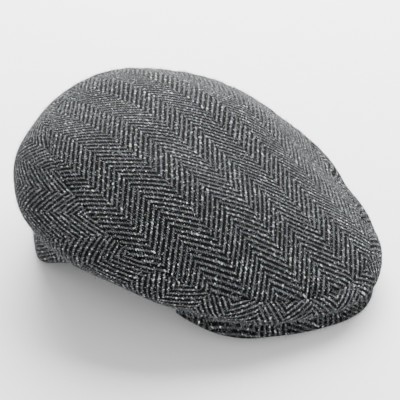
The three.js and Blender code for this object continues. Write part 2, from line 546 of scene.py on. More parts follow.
class Bench:
    """Adds and links the nodes of one node tree, laid out in rows."""

    PER_ROW: ClassVar[int] = 10
    STEP_RIGHT: ClassVar[int] = 220
    STEP_DOWN: ClassVar[int] = -260

    def __init__(self, tree: bpy.types.NodeTree) -> None:
        """Starts on an empty tree."""
        self.tree = tree
        tree.nodes.clear()

    def add(self, kind: str, **settings: object) -> bpy.types.Node:
        """Adds a node.

        Args:
            kind: The node's type.
            settings: The values of its settings by their names.

        Returns:
            The new node.
        """
        node = self.tree.nodes.new(kind)
        row, place = divmod(len(self.tree.nodes), self.PER_ROW)
        node.location = (self.STEP_RIGHT * place, self.STEP_DOWN * row)
        for name, value in settings.items():
            setattr(node, name, value)
        return node

    def feed(self, socket: Socket, value: object) -> None:
        """Links a value into a socket, or sets it there.

        Args:
            socket: The socket that takes the value.
            value: Another node's output, or a plain value.
        """
        if isinstance(value, Socket):
            self.tree.links.new(value, socket)
        else:
            socket.default_value = value

    def wired(self, kind: str, *values: object, **settings: object) -> Socket:
        """Adds a node and feeds its first sockets.

        Args:
            kind: The node's type.
            values: What goes into its sockets, from the first on. None leaves a socket as it is.
            settings: The values of its settings by their names.

        Returns:
            The node's first output.
        """
        node = self.add(kind, **settings)
        for socket, value in zip(node.inputs, values):
            if value is not None:
                self.feed(socket, value)
        return node.outputs[0]

    def math(self, operation: str, *values: object, clamp: bool = False) -> Socket:
        """Works on one, two or three values."""
        return self.wired("ShaderNodeMath", *values, operation=operation, use_clamp=clamp)

    def total(self, first: object, second: object, third: object) -> Socket:
        """Adds three values."""
        return self.math("ADD", self.math("ADD", first, second), third)

    def vector(self, operation: str, *values: object) -> Socket:
        """Works on one or two vectors."""
        return self.wired("ShaderNodeVectorMath", *values, operation=operation)

    def joined(self, x: object, y: object, z: object = 0.0) -> Socket:
        """A vector of three values."""
        return self.wired("ShaderNodeCombineXYZ", x, y, z)

    def shaded(self, colour: object, share: Socket) -> Socket:
        """A colour made lighter or darker by a share."""
        return self.vector("MULTIPLY", colour, self.joined(share, share, share))

    def centred(self, colour: Socket) -> Socket:
        """A noise's colour as pushes to both sides of nothing."""
        return self.vector("SUBTRACT", colour, (0.5, 0.5, 0.5))

    def ramp(self, value: Socket, ramp: Ramp) -> Socket:
        """Maps a value smoothly from one range to another."""
        return self.wired("ShaderNodeMapRange", value, *ramp, interpolation_type="SMOOTHSTEP")

    def noise(self, place: Socket, by_yarn: Socket, grain: Grain) -> bpy.types.Node:
        """Adds a noise texture.

        Args:
            place: Where on the cloth it is read.
            by_yarn: How many yarns go into a metre.
            grain: The size and roughness of its grains.

        Returns:
            The noise node.
        """
        node = self.add("ShaderNodeTexNoise")
        self.feed(node.inputs["Vector"], place)
        self.feed(node.inputs["Scale"], self.math("MULTIPLY", by_yarn, grain.by_yarn))
        self.feed(node.inputs["Detail"], grain.detail)
        self.feed(node.inputs["Roughness"], grain.rough)
        return node

    def mix(self, share: object, first: object, second: object) -> Socket:
        """Mixes two colours.

        Args:
            share: The second colour's share.
            first: The first colour.
            second: The second colour.

        Returns:
            The mixed colour.
        """
        node = self.add("ShaderNodeMix", data_type="RGBA")
        self.feed(node.inputs[0], share)
        self.feed(node.inputs[6], first)
        self.feed(node.inputs[7], second)
        return node.outputs[2]

    def blend(self, share: object, first: object, second: object) -> Socket:
        """Mixes two plain values."""
        return self.wired("ShaderNodeMix", share, None, first, second, data_type="FLOAT")

    def surface(self, colour: Socket, roughness: float, sheen: float) -> bpy.types.Node:
        """Adds the material's shader and its output.

        Args:
            colour: The base colour.
            roughness: The roughness.
            sheen: The weight of the sheen.

        Returns:
            The shader node.
        """
        shader = self.add("ShaderNodeBsdfPrincipled")
        self.feed(shader.inputs["Base Color"], colour)
        shader.inputs["Roughness"].default_value = roughness
        shader.inputs["Sheen Weight"].default_value = sheen
        output = self.add("ShaderNodeOutputMaterial")
        self.feed(output.inputs["Surface"], shader.outputs["BSDF"])
        return shader


def group_tree(
    name: str, inputs: dict[str, str], outputs: dict[str, str]
) -> tuple[Bench, bpy.types.Node, bpy.types.Node]:
    """Starts a shader node group.

    Args:
        name: The group's name.
        inputs: The kind of each input socket by its name.
        outputs: The kind of each output socket by its name.

    Returns:
        The bench, the group's input node and its output node.
    """
    tree = bpy.data.node_groups.new(name, "ShaderNodeTree")
    for way, sockets in (("INPUT", inputs), ("OUTPUT", outputs)):
        for socket, kind in sockets.items():
            tree.interface.new_socket(socket, in_out=way, socket_type=f"NodeSocket{kind}")
    bench = Bench(tree)
    return bench, bench.add("NodeGroupInput"), bench.add("NodeGroupOutput")


@dataclass(frozen=True)
class HerringboneWeave:
    """The node group that weaves a two-up, two-down twill whose lines turn back at each column.

    Lengths on the cloth are counted in yarns. A pale line fades away from its middle by line_fade, a float
    sinks towards its ends by arch_fall, and the weft lies lower than the warp by weft_rise.
    """

    name: str = "herringbone_weave"
    repeat: float = 4.0
    floats: float = 2.0
    half_yarn: float = 0.5
    line_fade: Ramp = Ramp(0.2, 1.25, 1.0, 0.0)
    arch_power: float = 2.5
    arch_fall: float = -0.6
    weft_rise: float = 0.8
    weft_mark: float = 0.37

    def build(self) -> bpy.types.NodeTree:
        """Makes the group.

        Returns:
            The group. It puts out whether the warp lies on top, how high the upper yarn stands, a random
            value for each float and for each strand, and how near a pale line's middle a point lies.
        """
        bench, given, put_out = group_tree(
            self.name,
            {"Map": "Vector", "Yarn": "Float", "Column": "Float"},
            {"Warp": "Float", "Height": "Float", "Float": "Float", "Strand": "Float", "Line": "Float"},
        )
        axes = bench.add("ShaderNodeSeparateXYZ")
        bench.feed(axes.inputs[0], given.outputs["Map"])
        across, along = axes.outputs[0], axes.outputs[1]
        end = bench.math("DIVIDE", across, given.outputs["Yarn"])
        pick = bench.math("DIVIDE", along, given.outputs["Yarn"])
        column = bench.math("FLOOR", bench.math("DIVIDE", across, given.outputs["Column"]))
        turned = bench.math("FLOORED_MODULO", column, 2.0)
        lean = bench.math("MULTIPLY_ADD", turned, -2.0, 1.0)
        step = bench.math("MULTIPLY", turned, self.floats)
        whole_end = bench.math("FLOOR", end)
        whole_pick = bench.math("FLOOR", pick)
        leaning_end = bench.math("MULTIPLY", whole_end, lean)
        shed = bench.total(leaning_end, whole_pick, step)
        place = bench.math("FLOORED_MODULO", shed, self.repeat)
        warp = bench.math("LESS_THAN", place, self.floats - self.half_yarn)
        drift = bench.math("MULTIPLY_ADD", end, lean, turned)
        warp_run = self.run(bench, bench.total(leaning_end, pick, step), 0.0)
        weft_run = self.run(bench, bench.total(drift, whole_pick, step), self.floats)
        warp_height = bench.math("MULTIPLY", self.round(bench, end), self.arch(bench, warp_run))
        weft_height = bench.math("MULTIPLY", self.round(bench, pick), self.arch(bench, weft_run))
        weft_height = bench.math("MULTIPLY", weft_height, self.weft_rise)
        which = bench.math("FLOOR", bench.math("DIVIDE", shed, self.repeat))
        strand = bench.blend(warp, bench.math("ADD", whole_pick, self.weft_mark), whole_end)
        spot = bench.add("ShaderNodeTexWhiteNoise", noise_dimensions="3D")
        bench.feed(spot.inputs["Vector"], bench.joined(strand, which, warp))
        yarn = bench.add("ShaderNodeTexWhiteNoise", noise_dimensions="2D")
        bench.feed(yarn.inputs["Vector"], bench.joined(strand, warp))
        bench.feed(put_out.inputs["Warp"], warp)
        bench.feed(put_out.inputs["Height"], bench.blend(warp, weft_height, warp_height))
        bench.feed(put_out.inputs["Float"], spot.outputs["Value"])
        bench.feed(put_out.inputs["Strand"], yarn.outputs["Value"])
        bench.feed(put_out.inputs["Line"], self.line(bench, bench.total(drift, pick, step)))
        return bench.tree

    def run(self, bench: Bench, value: Socket, start: float) -> Socket:
        """How far along its float a point lies, from 0 to 1."""
        place = bench.math("FLOORED_MODULO", value, self.repeat)
        return bench.math("DIVIDE", bench.math("SUBTRACT", place, start), self.floats)

    def line(self, bench: Bench, value: Socket) -> Socket:
        """How near the middle of a pale twill line a point lies.

        Args:
            bench: What adds the nodes.
            value: The point's place across the lines.

        Returns:
            A share from 0 to 1.
        """
        place = bench.math("FLOORED_MODULO", bench.math("ADD", value, self.half_yarn), self.repeat)
        aside = bench.math("ABSOLUTE", bench.math("SUBTRACT", place, self.floats))
        return bench.ramp(aside, self.line_fade)

    @staticmethod
    def round(bench: Bench, value: Socket) -> Socket:
        """The round back of a yarn, across it."""
        side = bench.math("MULTIPLY_ADD", bench.math("FRACT", value), 2.0, -1.0)
        return bench.math("SUBTRACT", 1.0, bench.math("MULTIPLY", side, side))

    def arch(self, bench: Bench, share: Socket) -> Socket:
        """The arch of a float.

        Args:
            bench: What adds the nodes.
            share: How far along the float a point lies.

        Returns:
            Its height there, 1 in the middle.
        """
        side = bench.math("MULTIPLY_ADD", share, 2.0, -1.0)
        bow = bench.math("POWER", bench.math("ABSOLUTE", side), self.arch_power)
        return bench.math("MULTIPLY_ADD", bow, self.arch_fall, 1.0)


@dataclass(frozen=True)
class WoolNap:
    """The node group for what all wool does: yarns that wander, thick and thin spots, flecks and fuzz."""

    name: str = "wool_nap"
    slow: Grain = Grain(0.16)
    fast: Grain = Grain(0.7)
    fast_share: float = 0.4
    fuzz: Grain = Grain(2.6, detail=3.0, rough=0.65)
    fleck: Grain = Grain(0.8, detail=1.0)
    fleck_edge: Ramp = Ramp(0.635, 0.74)
    cloud: Grain = Grain(0.05, detail=3.0, rough=0.6)
    tint: Grain = Grain(0.35)

    def build(self) -> bpy.types.NodeTree:
        """Makes the group.

        Returns:
            The group. It puts out the place on the cloth with the yarns' wander in it, the fine fuzz, the
            white flecks, the slow cloudy tone and the slight tint.
        """
        bench, given, put_out = group_tree(
            self.name,
            {"Map": "Vector", "Yarn": "Float", "Wander": "Float"},
            {"Map": "Vector", "Fuzz": "Float", "Fleck": "Float", "Cloud": "Float", "Tint": "Color"},
        )
        place, yarn = given.outputs["Map"], given.outputs["Yarn"]
        by_yarn = bench.math("DIVIDE", 1.0, yarn)
        slow = bench.centred(bench.noise(place, by_yarn, self.slow).outputs["Color"])
        fast = bench.centred(bench.noise(place, by_yarn, self.fast).outputs["Color"])
        fast = bench.vector("MULTIPLY", fast, (self.fast_share, self.fast_share, 0.0))
        reach = bench.math("MULTIPLY", given.outputs["Wander"], yarn)
        push = bench.vector("MULTIPLY", bench.vector("ADD", slow, fast), bench.joined(reach, reach))
        bench.feed(put_out.inputs["Map"], bench.vector("ADD", place, push))
        fleck = bench.noise(place, by_yarn, self.fleck).outputs["Fac"]
        bench.feed(put_out.inputs["Fleck"], bench.ramp(fleck, self.fleck_edge))
        bench.feed(put_out.inputs["Fuzz"], bench.noise(place, by_yarn, self.fuzz).outputs["Fac"])
        bench.feed(put_out.inputs["Cloud"], bench.noise(place, by_yarn, self.cloud).outputs["Fac"])
        bench.feed(put_out.inputs["Tint"], bench.noise(place, by_yarn, self.tint).outputs["Color"])
        return bench.tree


def blank_material(name: str) -> tuple[bpy.types.Material, Bench]:
    """Starts a material.

    Args:
        name: The material's name.

    Returns:
        The material, and the bench that its nodes are added on.
    """
    material = bpy.data.materials.new(name)
    material.use_nodes = True
    return material, Bench(material.node_tree)


@dataclass(frozen=True)
class Tweed:
    """A herringbone wool with a pale warp on a charcoal weft.

    Lengths are in metres. A float's shade is plain_float, plus bright_float and nep_float where its random
    value, raised to float_power and nep_power, comes near 1. A tint's mean is a half, which tint_level
    makes up for.
    """

    name: str
    pale: Colour = (0.093, 0.099, 0.105)
    dark: Colour = (0.0036, 0.0038, 0.0041)
    white: Colour = (0.85, 0.87, 0.88)
    yarn: float = 0.0011
    ends: int = 16
    shift: tuple[float, float] = (0.0, 0.0)
    wander: float = 0.5
    relief: float = 0.00038
    fuzz_relief: float = 0.5
    roughness: float = 0.9
    specular: float = 0.12
    sheen: float = 0.02
    sheen_roughness: float = 0.35
    plain_float: float = 0.66
    bright_float: float = 0.9
    float_power: float = 3.0
    nep_float: float = 5.0
    nep_power: float = 70.0
    least_strand: float = 0.8
    strand_spread: float = 0.4
    fuzz_shade: Ramp = Ramp(0.28, 0.72, 0.4, 1.6)
    # Painted shade: how dark the colour goes where the yarns stand low, in the grooves between them
    painted_groove_shade: Ramp = Ramp(0.05, 0.8, 0.2, 1.0)
    line_shade: float = 0.16
    tint: float = 0.25
    tint_level: float = 2.0
    warp_flecks: float = 0.7
    weft_flecks: float = 0.2
    cloud_shade: Ramp = Ramp(0.3, 0.7, 0.88, 1.12)

    def material(self, weave: bpy.types.NodeTree, nap: bpy.types.NodeTree) -> bpy.types.Material:
        """Makes the material.

        Args:
            weave: The herringbone group.
            nap: The wool nap group.

        Returns:
            The material.
        """
        material, bench = blank_material(self.name)
        cloth = bench.add("ShaderNodeUVMap", uv_map=CLOTH_MAP)
        wool = bench.add("ShaderNodeGroup", node_tree=nap)
        bench.feed(wool.inputs["Map"], bench.vector("ADD", cloth.outputs[0], (*self.shift, 0.0)))
        bench.feed(wool.inputs["Yarn"], self.yarn)
        bench.feed(wool.inputs["Wander"], self.wander)
        twill = bench.add("ShaderNodeGroup", node_tree=weave)
        bench.feed(twill.inputs["Map"], wool.outputs["Map"])
        bench.feed(twill.inputs["Yarn"], self.yarn)
        bench.feed(twill.inputs["Column"], self.yarn * self.ends)
        shader = bench.surface(self.colour(bench, wool, twill), self.roughness, self.sheen)
        shader.inputs["Specular IOR Level"].default_value = self.specular
        shader.inputs["Sheen Roughness"].default_value = self.sheen_roughness
        fuzz = bench.math("MULTIPLY", wool.outputs["Fuzz"], self.fuzz_relief)
        bump = bench.add("ShaderNodeBump")
        bump.inputs["Strength"].default_value = 1.0
        bump.inputs["Distance"].default_value = self.relief
        bench.feed(bump.inputs["Height"], bench.math("ADD", twill.outputs["Height"], fuzz))
        bench.feed(shader.inputs["Normal"], bump.outputs["Normal"])
        return material

    def colour(self, bench: Bench, wool: bpy.types.Node, twill: bpy.types.Node) -> Socket:
        """Colours the yarns and the flecks, and paints shade where the yarns sink: in the gaps between
        them, at the ends of the floats and on the lower weft.

        Args:
            bench: What adds the nodes.
            wool: The placed wool nap group.
            twill: The placed herringbone group.

        Returns:
            The cloth's colour.
        """
        bright = bench.math("POWER", twill.outputs["Float"], self.float_power)
        nep = bench.math("POWER", twill.outputs["Float"], self.nep_power)
        uneven = bench.math("MULTIPLY_ADD", bright, self.bright_float, self.plain_float)
        uneven = bench.math("MULTIPLY_ADD", nep, self.nep_float, uneven)
        strand = bench.math("MULTIPLY_ADD", twill.outputs["Strand"], self.strand_spread, self.least_strand)
        pale = bench.shaded(self.pale, bench.math("MULTIPLY", uneven, strand))
        fuzz = bench.ramp(wool.outputs["Fuzz"], self.fuzz_shade)
        yarns = bench.mix(twill.outputs["Warp"], bench.shaded(self.dark, fuzz), bench.shaded(pale, fuzz))
        # Painted shade: the colour darkens where the yarns stand low, between yarns, at the ends of floats
        # and on the lower weft
        depth = bench.ramp(twill.outputs["Height"], self.painted_groove_shade)
        line = bench.math("MULTIPLY_ADD", twill.outputs["Line"], 1.0 - self.line_shade, self.line_shade)
        yarns = bench.shaded(yarns, bench.math("MULTIPLY", depth, line))
        tint = bench.vector("MULTIPLY", wool.outputs["Tint"], (self.tint_level,) * 3)
        yarns = bench.mix(self.tint, yarns, bench.vector("MULTIPLY", yarns, tint))
        shown = bench.math("MULTIPLY_ADD", twill.outputs["Warp"], self.warp_flecks, self.weft_flecks)
        flecks = bench.math("MULTIPLY", wool.outputs["Fleck"], shown)
        colour = bench.mix(flecks, yarns, (*self.white, 1.0))
        return bench.shaded(colour, bench.ramp(wool.outputs["Cloud"], self.cloud_shade))


@dataclass(frozen=True)
class FuzzWool:
    """The loose fibres' finish: each fibre has its own grey, and thins to a paler tip."""

    name: str = "loose_wool"
    dark: Colour = (0.02, 0.021, 0.022)
    pale: Colour = (0.36, 0.38, 0.4)
    shade_power: float = 2.0
    tip_share: float = 0.2
    sheen: float = 0.4
    roughness: float = 0.75

    def material(self) -> bpy.types.Material:
        """Makes the material.

        Returns:
            The material. It reads a fibre's own grey and the rise along it from the cloth's map.
        """
        material, bench = blank_material(self.name)
        cloth = bench.add("ShaderNodeUVMap", uv_map=CLOTH_MAP)
        axes = bench.add("ShaderNodeSeparateXYZ")
        bench.feed(axes.inputs[0], cloth.outputs[0])
        own = bench.math("POWER", axes.outputs[0], self.shade_power)
        share = bench.math("MULTIPLY_ADD", axes.outputs[1], self.tip_share, own, clamp=True)
        colour = bench.mix(share, (*self.dark, 1.0), (*self.pale, 1.0))
        bench.surface(colour, self.roughness, self.sheen)
        return material


class Wardrobe:
    """Keeps the shared node groups and dresses pieces in a finish."""

    def __init__(self) -> None:
        """Weaves the groups once."""
        self.weave = HerringboneWeave().build()
        self.nap = WoolNap().build()
        self.loose_wool = FuzzWool().material()

    def dress_fuzz(self, piece: bpy.types.Object) -> None:
        """Gives loose fibres their material."""
        piece.data.materials.append(self.loose_wool)

    def dress(self, piece: bpy.types.Object, finish: Tweed) -> None:
        """Gives a piece its material."""
        piece.data.materials.append(finish.material(self.weave, self.nap))


def settle(piece: bpy.types.Object, node: str, run: ColumnRun) -> None:
    """Fastens a piece to the frame in place of its plain solid.

    Args:
        piece: The new piece.
        node: The solid that it stands for.
        run: How its columns run, for the log.
    """
    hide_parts(node)
    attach(piece, BODY)
    faces = len(piece.data.polygons)
    LOG.info("%s stands for %s: %d faces, columns %s", piece.name, node, faces, run.value)


def grid_normals(points: Grid, closed: bool) -> Grid:
    """The outward directions of a grid of points.

    Args:
        points: Columns by rings by three.
        closed: Whether the last column is followed by the first.

    Returns:
        Unit directions of the same shape.
    """
    if closed:
        sideways = np.roll(points, -1, axis=0) - np.roll(points, 1, axis=0)
    else:
        sideways = np.gradient(points, axis=0)
    normals = np.cross(sideways, np.gradient(points, axis=1))
    normals /= np.linalg.norm(normals, axis=2, keepdims=True) + TINY
    return normals * np.sign((normals * (points - points.mean(axis=(0, 1)))).sum())


# A fibre has three points at its root, three at its knee and one at its tip: its sides, how far up it each
# point lies, and the places of the three round it
SPIKE = ((0, 2, 1), (0, 1, 4, 3), (1, 2, 5, 4), (2, 0, 3, 5), (3, 4, 6), (4, 5, 6), (5, 3, 6))
SPIKE_RISE = (0.0, 0.0, 0.0, 0.5, 0.5, 0.5, 1.0)
SPIKE_ANGLES = (0.0, 2 * math.pi / 3, 4 * math.pi / 3)


@dataclass(frozen=True)
class LooseFibres:
    """Loose wool that stands out of a face: bare strands, each a thin closed spike with a bend in it."""

    name: str
    count: int
    seed: int
    shortest: float = 0.0010
    longest: float = 0.0042
    radius: float = 0.00006
    sunk: float = 0.0002
    lean: float = 1.6
    bend: float = 1.1
    least_turn: float = 0.25
    knee: float = 0.5
    floor_gap: float = 0.0002

    def build(self, face: Grid, normals: Grid, slot: str, wardrobe: Wardrobe, closed: bool = True) -> None:
        """Makes the fibres of a face and dresses them.

        Args:
            face: The face's points, columns by rings by three.
            normals: The outward directions at those points.
            slot: The record's material slot. Not used.
            wardrobe: What dresses the piece.
            closed: Whether the face goes all the way round.
        """
        draw = np.random.default_rng(self.seed)
        roots, outward = self.scatter(face, normals, draw, closed)
        length = self.shortest + (self.longest - self.shortest) * draw.uniform(size=(self.count, 1)) ** 2
        first = self.turned(outward, draw, self.lean)
        second = self.turned(first, draw, self.bend)
        base = roots - outward * self.sunk
        knee = roots + first * length * self.knee
        tip = knee + second * length * (1 - self.knee)
        tip[:, 2] = np.maximum(tip[:, 2], self.floor_gap)
        knee[:, 2] = np.maximum(knee[:, 2], self.floor_gap)
        side = np.cross(first, second)
        side /= np.linalg.norm(side, axis=1, keepdims=True)
        other = np.cross(first, side)
        size = len(SPIKE_RISE)
        points = np.zeros((self.count, size, 3))
        for corner, angle in enumerate(SPIKE_ANGLES):
            spoke = self.radius * (side * math.cos(angle) + other * math.sin(angle))
            points[:, corner] = base + spoke
            points[:, corner + len(SPIKE_ANGLES)] = knee + spoke
        points[:, -1] = tip
        starts = range(0, size * self.count, size)
        faces = [[start + corner for corner in part] for start in starts for part in SPIKE]
        shade = draw.uniform(size=self.count)
        rise = np.array(SPIKE_RISE)[np.concatenate([np.array(part) for part in SPIKE])]
        corners = np.stack(np.broadcast_arrays(shade[:, None], rise[None]), axis=-1).reshape(-1, 2)
        piece = mesh_piece(self.name, points.reshape(-1, 3), faces, corners)
        wardrobe.dress_fuzz(piece)
        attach(piece, BODY)
        LOG.info("%s has %d fibres", self.name, self.count)

    def scatter(
        self, face: Grid, normals: Grid, draw: np.random.Generator, closed: bool
    ) -> tuple[Grid, Grid]:
        """Spreads the roots evenly over a face.

        Args:
            face: The face's points, columns by rings by three.
            normals: The outward directions at those points.
            draw: The random numbers.
            closed: Whether the face goes all the way round.

        Returns:
            The roots, and the outward direction at each.
        """
        last = len(face) if closed else len(face) - 1
        right, down = np.roll(face, -1, axis=0), face[:, 1:]
        area = np.linalg.norm(np.cross(right[:, :-1] - face[:, :-1], down - face[:, :-1]), axis=2)[:last]
        cell = draw.choice(area.size, self.count, p=area.ravel() / area.sum())
        column, ring = np.unravel_index(cell, area.shape)
        shares = draw.uniform(size=(2, self.count, 1))
        outward = self.inside(normals, (column, ring), shares)
        outward /= np.linalg.norm(outward, axis=1, keepdims=True)
        return self.inside(face, (column, ring), shares), outward

    @staticmethod
    def inside(grid: Grid, cells: tuple[Grid, Grid], shares: Grid) -> Grid:
        """Reads a grid inside chosen cells.

        Args:
            grid: Columns by rings by three.
            cells: The column and the ring of each cell's first corner.
            shares: How far across and along its cell each place lies.

        Returns:
            One row of three for each cell.
        """
        (column, ring), (across, along) = cells, shares
        beside = (column + 1) % len(grid)
        near = grid[column, ring] * (1 - along) + grid[column, ring + 1] * along
        far = grid[beside, ring] * (1 - along) + grid[beside, ring + 1] * along
        return near * (1 - across) + far * across

    def turned(self, ways: Grid, draw: np.random.Generator, most: float) -> Grid:
        """Turns directions at random.

        Args:
            ways: The directions.
            draw: The random numbers.
            most: The largest slant.

        Returns:
            The turned directions.
        """
        aside = np.cross(ways, draw.normal(size=ways.shape))
        aside /= np.linalg.norm(aside, axis=1, keepdims=True)
        slanted = ways + aside * most * draw.uniform(self.least_turn, 1, size=(len(ways), 1))
        return slanted / np.linalg.norm(slanted, axis=1, keepdims=True)


@dataclass(frozen=True)
class SeamFinish:
    """The shape of a sewn seam: its edges turn down, and what is folded under lifts the cloth beside it."""

    turn_down: float = 0.0012
    turn_width: float = 0.0024
    ridge: float = 0.0003
    ridge_place: float = 0.006
    ridge_width: float = 0.005
    pucker: float = 0.0004
    pucker_reach: float = 0.011
    puckers: tuple[int, ...] = (31, 50, 84)
    least_pucker: float = 0.5
    seed: int = 5

    def heights(self, away: Grid, turns: Grid) -> Grid:
        """How far the cloth stands out by the seam.

        Args:
            away: The distance of each point from the seam.
            turns: The turn of each column. Both sides of the seam get the same puckers from it.

        Returns:
            Heights of the same shape as away.
        """
        edge = -self.turn_down * np.clip(1 - away / self.turn_width, 0, 1) ** 2
        ridge = self.ridge * hump(away, self.ridge_place, self.ridge_width)
        draw = np.random.default_rng(self.seed)
        wave = np.zeros_like(turns)
        for count in self.puckers:
            size = draw.uniform(self.least_pucker, 1)
            wave = wave + size * np.sin(2 * math.pi * (count * turns + draw.uniform()))
        fade = np.exp(-((away / self.pucker_reach) ** 2))
        return edge + ridge + self.pucker * wave[:, None] * fade / 2


@dataclass(frozen=True)
class TopPanel:
    """The top of the crown, cut in one oval and sewn to the side panel."""

    crown: Crown
    columns: int = 360
    outer_rings: int = 84
    inner_rings: int = 24
    ring_crowding: float = 1.5
    lay: ClothLay = ClothLay(
        across=(0.974, -0.268, 0.73, 1.38, -0.2), along=(0.441, 0.91, 0.0, 1.27, 0.52)
    )
    finish: Tweed = Tweed("crown_tweed", shift=(0.0306, 0.0))
    seam: SeamFinish = SeamFinish()
    fuzz: LooseFibres = LooseFibres("top_panel_fuzz", count=6500, seed=61)

    def build(self, wardrobe: Wardrobe) -> bpy.types.Object:
        """Makes the panel and dresses it.

        Args:
            wardrobe: What dresses the pieces.

        Returns:
            The dressed panel.
        """
        turns = full_turn(self.columns)
        spread = 1 - (1 - np.linspace(0, 1, self.outer_rings)) ** self.ring_crowding
        outer = self.crown.patch(turns, Crown.SEAM * spread)
        away = outer.along[:, -1:] - outer.along
        face = outer.raised(self.seam.heights(away, turns) + Wear(self.crown).at(outer.points))
        inner = self.crown.patch(turns, Crown.SEAM * np.linspace(0, 1, self.inner_rings))
        back = inner.raised(np.full(inner.along.shape, -self.crown.cloth_wall))
        back[:, -1] = face[:, -1] - outer.normals[:, -1] * self.crown.cloth_wall
        back[:, 0] = back[:, 0].mean(axis=0)
        face[:, 0] = face[:, 0].mean(axis=0)
        rings = np.concatenate([face, back[:, ::-1]], axis=1)
        cloth = np.concatenate([self.on_cloth(outer), self.on_cloth(inner)[:, ::-1]], axis=1)
        piece = ShellMesh(rings, cloth, closed_rings=False).build("top_panel_cloth")
        wardrobe.dress(piece, self.finish)
        settle(piece, "top_panel", ColumnRun.LENGTHWISE)
        self.fuzz.build(face, outer.normals, "crown_wool", wardrobe)
        return piece

    def on_cloth(self, patch: Patch) -> Grid:
        """Finds each point on the cloth: the panel is flattened from its middle, as it was cut.

        Args:
            patch: The panel's face.

        Returns:
            A place on the cloth for each point.
        """
        ways = patch.points[:, -1, :2] - np.array([0, self.crown.middle_setback])
        ways /= np.linalg.norm(ways, axis=1, keepdims=True)
        x, y = np.moveaxis(patch.along[..., None] * ways[:, None], -1, 0)
        return self.lay.place(x, y)


@dataclass(frozen=True)
class SidePanel:
    """The panel that wraps round the crown, rolls over at its widest line and turns in to the band."""

    crown: Crown
    columns: int = 480
    outer_rings: int = 96
    inner_rings: int = 28
    ring_crowding: float = 1.3
    cut_radius: float = 0.419
    fan_spread: float = 0.949
    fan_lean: float = 0.39
    fan_stretch: float = 0.95
    back_seam: float = 0.0006
    back_seam_width: float = 0.003
    calm_edge: float = 0.012
    finish: Tweed = Tweed("side_tweed", shift=(-0.0013, 0.0))
    seam: SeamFinish = SeamFinish()
    fuzz: LooseFibres = LooseFibres("side_panel_fuzz", count=8000, seed=62)

    def build(self, wardrobe: Wardrobe) -> bpy.types.Object:
        """Makes the panel and dresses it.

        Args:
            wardrobe: What dresses the pieces.

        Returns:
            The dressed panel.
        """
        turns = full_turn(self.columns)
        spread = np.linspace(0, 1, self.outer_rings) ** self.ring_crowding
        outer = self.crown.patch(turns, Crown.SEAM + (Crown.SEWN - Crown.SEAM) * spread)
        middle = self.crown.skin(turns, np.array([(Crown.SEAM + Crown.WIDEST) / 2]))[:, 0]
        places = perimeter_places(middle)
        still = smooth_step(0, self.calm_edge, outer.along[:, -1:] - outer.along)
        behind = np.clip(1 - (np.abs(places).max() - np.abs(places)) / self.back_seam_width, 0, 1)
        worn = Wear(self.crown).at(outer.points) - self.back_seam * behind[:, None] ** 2
        face = outer.raised(self.seam.heights(outer.along, turns) + worn * still)
        inner = self.crown.patch(turns, np.linspace(Crown.SEAM, Crown.SEWN, self.inner_rings))
        back = inner.raised(np.full(inner.along.shape, -self.crown.cloth_wall))
        back[:, 0] = face[:, 0] - outer.normals[:, 0] * self.crown.cloth_wall
        face[:, -1] = self.crown.sewn_points(turns, self.crown.sewn_gap)
        rings = np.concatenate([face, back[:, ::-1]], axis=1)
        down = np.concatenate([outer.along, inner.along[:, ::-1]], axis=1)
        round_cap = places[:, None] + 0 * down
        cloth = self.on_cloth(round_cap, down)
        wrapped = self.on_cloth(round_cap + closed_steps(middle).sum(), down)
        piece = ShellMesh(rings, cloth, wrap=wrapped).build("side_panel_cloth")
        wardrobe.dress(piece, self.finish)
        settle(piece, "side_panel", ColumnRun.FANNED)
        self.fuzz.build(face, outer.normals, "side_wool", wardrobe)
        return piece

    def on_cloth(self, places: Grid, down: Grid) -> Grid:
        """Finds each point on the cloth, which was cut in a curved strip.

        Args:
            places: The length round the cap of each point.
            down: The length from the seam down to each point.

        Returns:
            A place on the cloth for each point.
        """
        turn = places / self.cut_radius
        radius = self.cut_radius - down
        across = self.fan_spread * radius * np.sin(turn) + self.fan_lean * down
        along = self.fan_stretch * (self.cut_radius - radius * np.cos(turn))
        return np.stack([across, along], axis=-1)


